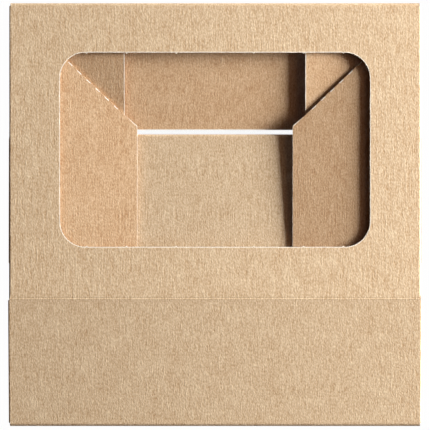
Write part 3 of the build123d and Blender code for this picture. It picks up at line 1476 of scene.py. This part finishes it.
@dataclass
class TrayBoard:
    """Bottom, front, back and side walls of the box, folded flat with four glued corners.

    Attributes:
        pack: The folded box.
        materials: Materials of the board's surfaces.
        creases: The geometry nodes that repeat a crease.
    """

    pack: Pack
    materials: list[Material]
    creases: NodeTree

    @property
    def side_reach(self) -> float:
        """Reach of a side wall from its fold line."""
        return self.pack.die.side_wall - self.pack.board.tight_fold / 2

    def side_level(self, front: Corner, back: Corner) -> Height:
        """Gives a side wall its near face, with a twist of the board between its glued ends.

        Args:
            front: The front corner on this hand.
            back: The back corner on this hand.

        Returns:
            A function of X and Y that gives Z.
        """
        straight = side_end(front, self.side_reach)[-1][1] + self.pack.die.flap_relief
        front_end = front.place(0, straight)[1]
        back_end = back.place(0, straight)[1]

        def level(x: float, y: float) -> float:
            """Works out one point of the near face.

            Args:
                x: X of the point.
                y: Y of the point.

            Returns:
                Z of the point.
            """
            share = min(max((y - back_end) / (front_end - back_end), 0.0), 1.0)
            lean = back.side_lean + (front.side_lean - back.side_lean) * share
            return self.pack.board.side_layer + lean * front.local(x, y)[0]

        return level

    def add_bottom(self, sheet: FoldedSheet) -> None:
        """Adds the bottom and the two end walls that fold off it.

        Args:
            sheet: The sheet that grows.
        """
        front, back = self.pack.front_corner(-1), self.pack.back_corner(-1)
        side, high, low = front.side_fold, front.end_fold, back.end_fold
        outline = [(point, Edge.FOLD) for point in ((-side, low), (side, low), (side, high), (-side, high))]
        sheet.panels["bottom"] = Panel([outline], lambda x, y: 0.0, 1, (Side.OUTER, Side.INNER))
        add_end_wall(sheet, "bottom", "front", front, Edge.CUT)
        add_end_wall(sheet, "bottom", "back", back, Edge.FLUSH)

    def add_side(self, sheet: FoldedSheet, name: str, front: Corner, back: Corner) -> None:
        """Adds a side wall with its two glued corners.

        Args:
            sheet: The sheet that grows.
            name: Name of the wall.
            front: The front corner on its hand.
            back: The back corner on its hand.
        """
        ends = [front.place(*point) for point in side_end(front, self.side_reach)]
        ends += reversed([back.place(*point) for point in side_end(back, self.side_reach)])
        kinds = [Edge.CUT] * (len(ends) - 1) + [Edge.FOLD]
        level, surfaces = self.side_level(front, back), (Side.INNER, Side.OUTER)
        sheet.panels[name] = Panel([list(zip(ends, kinds))], level, 1, surfaces)
        sheet.join("bottom", name, (front.hand, 0), front.place(0, 0), back.place(0, 0))
        add_glued_corner(sheet, front, "front")
        add_glued_corner(sheet, back, "back")

    def build(self) -> Object:
        """Builds the tray's board, one sheet with its folds and creases.

        Returns:
            The object, which replaces the CAD node and rides on its body.
        """
        sheet = FoldedSheet(self.pack.board)
        self.add_bottom(sheet)
        corners = []
        for hand, name in ((-1, "left_side"), (1, "right_side")):
            ends = (self.pack.front_corner(hand), self.pack.back_corner(hand))
            self.add_side(sheet, name, *ends)
            corners += ends
        mesh = sheet.build()
        add_creases(mesh, corners, self.creases, self.materials[Side.CUT.value])
        made = finished_object("tray_board", mesh, self.materials)
        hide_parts("tray")
        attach(made, "tray")
        return made


@dataclass
class LidBoard:
    """Top with its window, side flaps and front flap, folded flat with two glued corners.

    Attributes:
        pack: The folded box.
        materials: Materials of the board's surfaces.
        creases: The geometry nodes that repeat a crease.
        corner_steps: Steps of the mesh round a corner of the window.
        nick_steps: Steps of the mesh round a nick.
    """

    pack: Pack
    materials: list[Material]
    creases: NodeTree
    corner_steps: int = 12
    nick_steps: int = 6

    def window_edge(self) -> list[Point]:
        """Draws half of the window's cut edge: round corners, and the nicks that held its waste.

        Returns:
            Points about the window's own centre, anticlockwise from the middle of its right side
            to the middle of its left side.
        """
        die, radius = self.pack.die, self.pack.die.window_radius
        x_centre, y_centre = die.window_width / 2 - radius, die.window_depth / 2 - radius
        turns = [math.pi / 2 * step / self.corner_steps for step in range(self.corner_steps + 1)]
        half = [(die.window_width / 2, 0.0)]
        half += [(x_centre + radius * math.cos(turn), y_centre + radius * math.sin(turn)) for turn in turns]
        offsets = sorted((*die.nick_offsets, *(-offset for offset in die.nick_offsets)), reverse=True)
        turns_in_nick = [-math.pi * step / self.nick_steps for step in range(self.nick_steps + 1)]
        for offset in offsets:
            for turn in turns_in_nick:
                x, y = die.nick_radius * math.cos(turn), die.nick_radius * math.sin(turn)
                half.append((offset + x, die.window_depth / 2 + y))
        half += [(-x_centre - radius * math.sin(turn), y_centre + radius * math.cos(turn)) for turn in turns]
        half.append((-die.window_width / 2, 0.0))
        return half

    def top_outlines(self, corner: Corner, hinge_edge: float) -> list[Outline]:
        """Draws the top as two outlines that meet on a line through the middle of the window.

        Args:
            corner: The left corner of the lid's nest.
            hinge_edge: Y of the edge at the score.

        Returns:
            The outline of the front half and that of the back half.
        """
        side, middle = corner.side_fold, self.pack.window_centre
        outlines = []
        for up, end, kind in ((1, corner.end_fold, Edge.FOLD), (-1, hinge_edge, Edge.FLUSH)):
            edge = [((x, middle + up * y), Edge.CUT) for x, y in self.window_edge()]
            edge[-1] = (edge[-1][0], Edge.SEAM)
            rest = [
                ((-side, middle), Edge.FOLD),
                ((-side, end), kind),
                ((side, end), Edge.FOLD),
                ((side, middle), Edge.SEAM),
            ]
            outlines.append([*edge, *rest])
        return outlines

    def add_side(self, sheet: FoldedSheet, name: str, corner: Corner, rear: float) -> None:
        """Adds a side flap with its glued corner.

        Args:
            sheet: The sheet that grows.
            name: Name of the flap.
            corner: The corner on its hand.
            rear: Distance of the flap's rear end from the end fold.
        """
        die = self.pack.die
        reach = die.lid_side - self.pack.board.tight_fold / 2
        points = [*side_end(corner, reach)[1:], (reach, rear - die.lid_back_taper), (0, rear)]
        kinds = [Edge.CUT, Edge.TRIM, Edge.TRIM, Edge.FOLD]
        outline = corner.outline([*perforated_line(corner), *zip(points, kinds)])
        surfaces = (Side.INNER, Side.OUTER)
        sheet.panels[name] = Panel([outline], corner.level(corner.side_wall), corner.layers, surfaces)
        sheet.join("top", name, (corner.hand, 0), corner.place(0, 0), corner.place(0, rear))
        add_glued_corner(sheet, corner, "front")

    def build(self) -> Object:
        """Builds the lid's board, one sheet with its folds and creases.

        Returns:
            The object, which replaces the CAD node and rides on its body.
        """
        pack = self.pack
        sheet = FoldedSheet(pack.board)
        corners = [pack.lid_corner(-1), pack.lid_corner(1)]
        left = corners[0]
        hinge_edge = pack.score_line + pack.die.hinge_half
        outlines = self.top_outlines(left, hinge_edge)
        surfaces = (Side.OUTER, Side.INNER)
        sheet.panels["top"] = Panel(outlines, lambda x, y: pack.height, left.layers, surfaces)
        add_end_wall(sheet, "top", "front", left, Edge.CUT)
        for corner, name in zip(corners, ("left_side", "right_side")):
            self.add_side(sheet, name, corner, left.end_fold - hinge_edge)
        mesh = sheet.build()
        add_creases(mesh, corners, self.creases, self.materials[Side.CUT.value])
        made = finished_object("lid_board", mesh, self.materials)
        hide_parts("lid")
        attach(made, "lid")
        return made


@dataclass
class HingeScore:
    """The scored strip of board between the lid's top and the back wall, which bends with the lid.

    Attributes:
        pack: The folded box.
        materials: Materials of the board's surfaces.
        groove_depth: Depth of the score's groove.
        groove_half: Half the width of the groove.
        groove_shift: Y of the middle of the groove from the line that the lid turns about.
        groove_power: Power of the groove's slope, above 1 for a sharp middle and soft edges.
        bead_share: Height of the bead under the groove, as a share of the groove's depth.
        rows: Steps of the mesh across the score.
        columns: Steps of the mesh along the score.
    """

    pack: Pack
    materials: list[Material]
    groove_depth: float = 0.06
    groove_half: float = 0.5
    groove_shift: float = -0.25
    groove_power: float = 1.5
    bead_share: float = 0.5
    rows: int = 18
    columns: int = 101

    def groove(self, y: float) -> float:
        """Depth of the groove at a distance from the line that the lid turns about."""
        share = min(abs(y - self.groove_shift) / self.groove_half, 1.0)
        return self.groove_depth * (1 - share) ** self.groove_power

    def build(self) -> Object:
        """Builds the strip.

        Returns:
            The object, which bends between the tray and the lid.
        """
        pack, half = self.pack, self.pack.die.hinge_half
        tray_side, lid_side = pack.back_corner(-1).side_fold, pack.lid_corner(-1).side_fold

        def points(column: int, row: int) -> tuple[Vector, Vector]:
            """Places one point of each face.

            Args:
                column: Step along the score.
                row: Step across the score.

            Returns:
                The point of the outer face and that of the inner face.
            """
            y = half * (2 * row / self.rows - 1)
            side = tray_side + (lid_side - tray_side) * row / self.rows
            x = side * (2 * column / self.columns - 1)
            depth = self.groove(y)
            under = pack.height - pack.board.thickness - self.bead_share * depth
            y += pack.score_line
            return Vector((x, y, pack.height - depth)), Vector((x, y, under))

        slots = (Side.OUTER.value, Side.INNER.value, Side.CUT.value)
        mesh = thin_slab(self.columns, self.rows, points, slots)
        made = finished_object("hinge_score", mesh, self.materials)
        start = Vector((0, pack.score_line - half, pack.height)) * MM
        end = Vector((0, pack.score_line + half, pack.height)) * MM
        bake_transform(made, "tray", "lid", start=start, end=end)
        return made


@dataclass
class WindowFilm:
    """Clear film pasted inside the lid's top, with the faint waves of a stuck-down sheet.

    Attributes:
        finish: Material of the film.
        thickness: Thickness of the film.
        clearance: Room between the film and the inside of the top.
        grid: Spacing of the mesh lines.
        pasted: Width of the pasted edge, which lies flat.
        easing: Distance over which the waves grow to their full height.
        wave_height: Height of the waves.
        wave_across: How fast the waves turn along X, in millimetres to a radian.
        wave_along: How fast they turn along Y.
        wave_bend: How far their crests bend, in radians.
        bend_length: How fast the crests bend along Y.
        wave_start: Where the waves along Y start, in radians.
    """

    finish: Material
    thickness: float = 0.05
    clearance: float = 0.02
    grid: float = 3.0
    pasted: float = 12.0
    easing: float = 12.0
    wave_height: float = 0.05
    wave_across: float = 19.0
    wave_along: float = 17.0
    wave_bend: float = 0.7
    bend_length: float = 23.0
    wave_start: float = 0.4

    def sag(self, x: float, y: float, edge: float) -> float:
        """Works out how far the film hangs.

        Args:
            x: X of the point.
            y: Y of the point.
            edge: Distance of the point from the film's nearest edge.

        Returns:
            The depth under the pasted edge.
        """
        loose = min(max(edge - self.pasted, 0.0) / self.easing, 1.0)
        bend = self.wave_bend * math.sin(y / self.bend_length)
        wave = math.sin(x / self.wave_across + bend) * math.sin(y / self.wave_along + self.wave_start)
        return self.wave_height * loose * (1 + wave) / 2

    def build(self) -> Object:
        """Builds the film inside the CAD node's box.

        Returns:
            The object, which replaces the CAD node and rides on the lid.
        """
        low, high = (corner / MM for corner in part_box("window_film"))
        columns = round((high.x - low.x) / self.grid)
        rows = round((high.y - low.y) / self.grid)

        def points(column: int, row: int) -> tuple[Vector, Vector]:
            """Places one point of each face.

            Args:
                column: Step along X.
                row: Step along Y.

            Returns:
                The point of the upper face and that of the under face.
            """
            x = low.x + (high.x - low.x) * column / columns
            y = low.y + (high.y - low.y) * row / rows
            edge = min(row, rows - row, column, columns - column) * self.grid
            top = high.z - self.clearance - self.sag(x, y, edge)
            return Vector((x, y, top)), Vector((x, y, top - self.thickness))

        mesh = thin_slab(columns, rows, points, (0, 0, 0))
        made = finished_object("window_film_sheet", mesh, [self.finish])
        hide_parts("window_film")
        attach(made, "lid")
        return made


# The studio


@dataclass(frozen=True)
class Lamp:
    """A soft lamp that faces the box.

    Attributes:
        name: Name of the lamp.
        elevation: Height above the horizon, in degrees.
        distance: Distance from the box, in metres.
        size: Width and height, in metres.
        power: Power in watts.
        colour: Colour of its light.
    """

    name: str
    elevation: float
    distance: float
    size: tuple[float, float]
    power: float
    colour: tuple[float, float, float]

    def build(self, azimuth: float, height: float) -> None:
        """Adds the lamp.

        Args:
            azimuth: Direction of the lamp from +X towards +Y, in degrees.
            height: Height of the lid's top, in metres.
        """
        turn, rise = math.radians(azimuth), math.radians(self.elevation)
        data = bpy.data.lights.new(self.name, "AREA")
        data.shape = "RECTANGLE"
        data.size, data.size_y = self.size
        data.energy = self.power
        data.color = self.colour
        made = linked_object(self.name, data)
        away = Vector((math.cos(rise) * math.cos(turn), math.cos(rise) * math.sin(turn), math.sin(rise)))
        made.location = away * self.distance + Vector((0, 0, height))
        made.rotation_mode = "QUATERNION"
        made.rotation_quaternion = away.to_track_quat("Z", "Y")
        made.visible_camera = False


@dataclass(frozen=True)
class LampNet:
    """A grey net that stands beside the box and keeps most of the low lamp off its right side.

    Attributes:
        gap: Distance from the box, in millimetres.
        clearance: Height of its top edge over the box's, in millimetres.
        overhang: How far it reaches past the box at both ends, in millimetres.
        passed: Share of the light that it lets through.
    """

    gap: float = 4.0
    clearance: float = 0.05
    overhang: float = 20.0
    passed: float = 0.3

    def material(self) -> Material:
        """Builds the net's weave, which dims the light and shows no colour of its own.

        Returns:
            The material.
        """
        made, graph = new_material("lamp_net")
        share = (self.passed, self.passed, self.passed, 1.0)
        weave = graph.add("ShaderNodeBsdfTransparent", {"Color": share})
        graph.add("ShaderNodeOutputMaterial", {"Surface": weave.outputs[0]})
        return made

    def build(self, pack: Pack) -> None:
        """Adds the net. Its top edge follows the box's, so that it leaves the top its light.

        Args:
            pack: The folded box.
        """
        back, front = pack.tray_low.y, pack.lid_high.y
        top, fold = pack.height + self.clearance, pack.board.wide_fold + self.clearance
        outline = [
            (back - self.overhang, 0),
            (front + self.overhang, 0),
            (front + self.overhang, top),
            (pack.score_line, top),
            (back, fold),
            (back - self.overhang, fold),
        ]
        mesh = bmesh.new()
        x = pack.tray_high.x + self.gap
        mesh.faces.new([mesh.verts.new(Vector((x, y, z)) * MM) for y, z in outline])
        net = stage_object("lamp_net", mesh, self.material())
        net.visible_camera = False
        net.visible_glossy = False


@dataclass(frozen=True)
class Studio:
    """The white table, the lamps low on the right and the camera straight above.

    Attributes:
        pixels_per_mm: Scale of the picture on the lid's top.
        image_width: Width of the picture in pixels.
        camera_distance: Distance of the camera above the lid's top, in metres.
        sensor_width: Width of the camera's sensor, in millimetres.
        clip: Nearest and farthest distance that the camera sees, in metres.
        lamp_azimuth: Direction of the lamps from +X towards +Y, in degrees.
        lamps: The low main lamp, a cool white, and a weak warm one over it.
        sky: Strength of the plain light from all round.
        sky_colour: Colour of that light, warm like a room's.
        table_size: Width of the table, in metres.
        table_cells: Cells of the table's mesh along each side.
        table_drop: Distance of the table under the box, in millimetres.
        table_colour: Colour of the table in the light.
        table_glow: How much of the table's white a camera sees whatever falls on it.
    """

    pixels_per_mm: float = 2.0374
    image_width: float = 430.0
    camera_distance: float = 1.5
    sensor_width: float = 36.0
    clip: tuple[float, float] = (0.05, 20.0)
    lamp_azimuth: float = 10.0
    lamps: tuple[Lamp, ...] = (
        Lamp("soft_lamp", 10.5, 1.7, (0.85, 0.57), 161.0, (0.94, 0.975, 1.0)),
        Lamp("fill_lamp", 25.0, 1.3, (0.9, 0.6), 3.2, (1.0, 0.6, 0.3)),
    )
    sky: float = 0.03
    sky_colour: Colour = (1.0, 0.5, 0.25, 1.0)
    table_size: float = 6.0
    table_cells: int = 8
    table_drop: float = 0.02
    table_colour: Colour = (0.9, 0.87, 0.83, 1.0)
    table_glow: float = 0.985

    def camera(self, height: float) -> None:
        """Adds the camera.

        Args:
            height: Height of the lid's top, in metres.
        """
        data = bpy.data.cameras.new("camera")
        data.sensor_width = self.sensor_width
        seen = self.image_width / self.pixels_per_mm * MM
        data.lens = self.sensor_width * self.camera_distance / seen
        data.clip_start, data.clip_end = self.clip
        made = linked_object("camera", data)
        made.location = (0.0, 0.0, height + self.camera_distance)
        bpy.context.scene.camera = made

    def seen_directly(self, graph: Graph) -> NodeSocket:
        """Masks the rays that show the background.

        Args:
            graph: Graph that the mask goes into.

        Returns:
            1 for a camera's rays and those of gloss and clear film, and 0 for the rest.
        """
        path = graph.add("ShaderNodeLightPath").outputs
        passed = graph.math("MAXIMUM", path["Is Glossy Ray"], path["Is Transmission Ray"])
        return graph.math("MAXIMUM", path["Is Camera Ray"], passed)

    def world(self) -> None:
        """Sets the plain light from all round, which a camera sees as white."""
        world = bpy.data.worlds.new("studio")
        world.use_nodes = True
        world.node_tree.nodes.clear()
        graph = Graph(world.node_tree)
        light = graph.add("ShaderNodeBackground", {"Color": self.sky_colour, "Strength": self.sky})
        white = graph.add("ShaderNodeBackground", {"Color": WHITE, "Strength": 1.0})
        inputs = {0: self.seen_directly(graph), 1: light.outputs[0], 2: white.outputs[0]}
        both = graph.add("ShaderNodeMixShader", inputs)
        graph.add("ShaderNodeOutputWorld", {"Surface": both.outputs[0]})
        bpy.context.scene.world = world

    def table_material(self) -> Material:
        """Builds the matt white of the table, which keeps the box's shadow.

        Returns:
            The material.
        """
        made, graph = new_material("white_table")
        share = graph.math("MULTIPLY", self.seen_directly(graph), self.table_glow)
        matt = graph.add("ShaderNodeBsdfDiffuse", {"Color": self.table_colour})
        glow = graph.add("ShaderNodeEmission", {"Color": WHITE, "Strength": 1.0})
        inputs = {0: share, 1: matt.outputs[0], 2: glow.outputs[0]}
        both = graph.add("ShaderNodeMixShader", inputs)
        graph.add("ShaderNodeOutputMaterial", {"Surface": both.outputs[0]})
        return made

    def table(self) -> None:
        """Adds the white table under the box."""
        mesh = bmesh.new()
        cells = self.table_cells
        bmesh.ops.create_grid(mesh, x_segments=cells, y_segments=cells, size=self.table_size / 2)
        bmesh.ops.translate(mesh, verts=mesh.verts, vec=(0, 0, -self.table_drop * MM))
        stage_object("table", mesh, self.table_material())

    def build(self, height: float) -> None:
        """Adds the camera, the lamps, the world and the table.

        Args:
            height: Height of the lid's top, in metres.
        """
        self.camera(height)
        for lamp in self.lamps:
            lamp.build(self.lamp_azimuth, height)
        self.world()
        self.table()
        bpy.context.scene.view_settings.view_transform = "Standard"


def main() -> None:
    """Builds the box and its studio."""
    logging.basicConfig(level=logging.INFO, format="%(name)s: %(message)s")
    pack = Pack.from_frame(Board(), Die())
    fibres, specks = BoardFibres().group(), PulpSpecks().group()
    kraft = [KRAFT[side].material(fibres, specks) for side in Side]
    creases = crease_tree()
    Studio().build(pack.height * MM)
    LampNet().build(pack)
    pieces = (
        TrayBoard(pack, kraft, creases),
        LidBoard(pack, kraft, creases),
        HingeScore(pack, kraft),
        WindowFilm(FilmFinish().material(fibres)),
    )
    for piece in pieces:
        made = piece.build()
        log.info("%s: %d faces", made.name, len(made.data.polygons))


if __name__ == "__main__":
    main()
